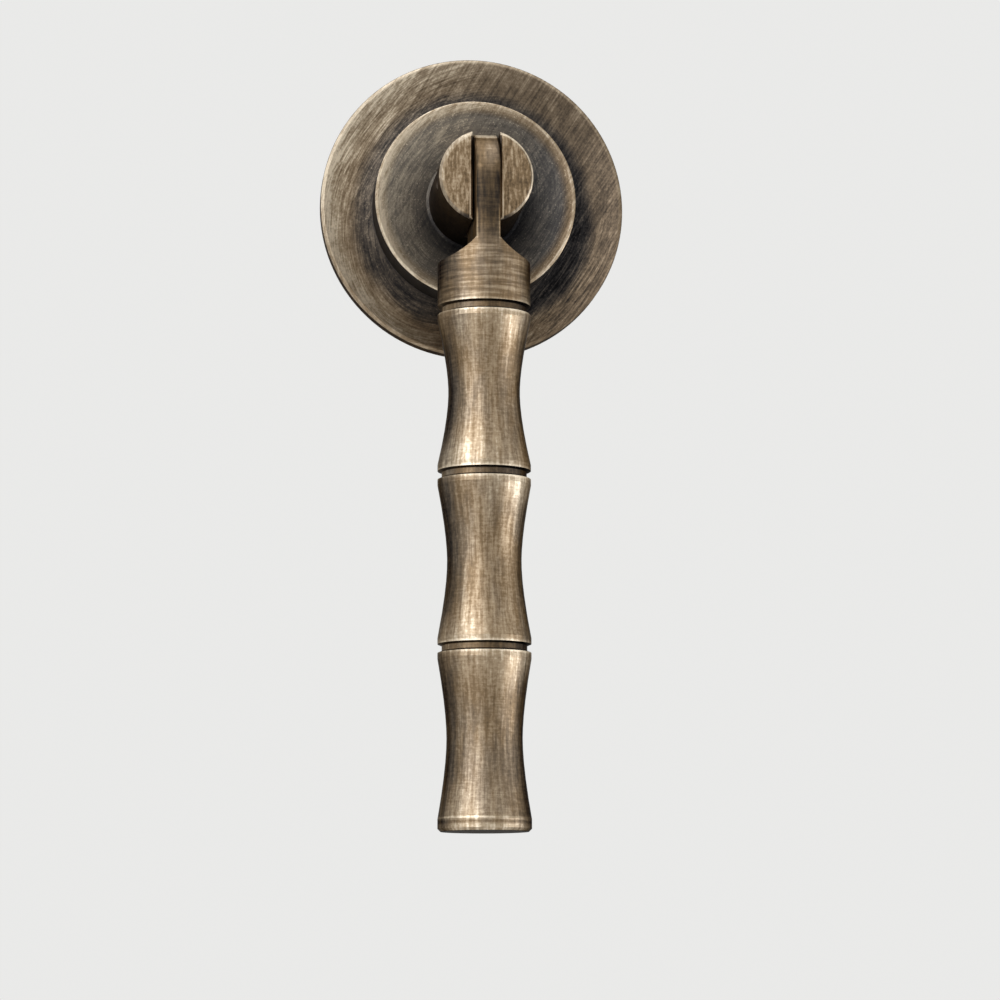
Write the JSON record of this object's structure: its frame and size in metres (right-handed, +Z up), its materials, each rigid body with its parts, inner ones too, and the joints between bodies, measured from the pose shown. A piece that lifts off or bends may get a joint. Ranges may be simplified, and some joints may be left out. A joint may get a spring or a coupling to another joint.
{
  "type": "drawer pull",
  "caption": "Antique brass drop pull: a bamboo-turned handle hangs from a cross pin in a slotted post on a round, stepped and dished rose.",
  "frame": {"origin": "on the flat back face, at the axis of the post and of its tapped fixing hole", "axes": "+Y out of the back face, towards the drawer front that carries it; the pull's front looks along -Y; +Z up, with the handle hanging down along -Z; +X along the hinge pin"},
  "size_m": [0.038, 0.0217, 0.0975],
  "materials": {
    "rose_brass": "brushed round, dark patina rubbed back at the rims",
    "post_brass": "brushed, dark patina rubbed back at the face",
    "pin_brass": "drawn, dull",
    "handle_brass": "brushed lengthwise, dark patina in the grooves"
  },
  "bodies": {
    "rose_and_post": {"backplate": "rose_brass", "slotted_post": "post_brass", "hinge_pin": "pin_brass"},
    "handle": {"drop_handle": "handle_brass"}
  },
  "joints": [
    {"name": "handle_swing", "type": "hinge", "parent": "rose_and_post", "child": "handle", "pos_m": [0, -0.0161, 0], "axis": [-1, 0, 0], "range_deg": [-7.6, 187.6]}
  ]
}
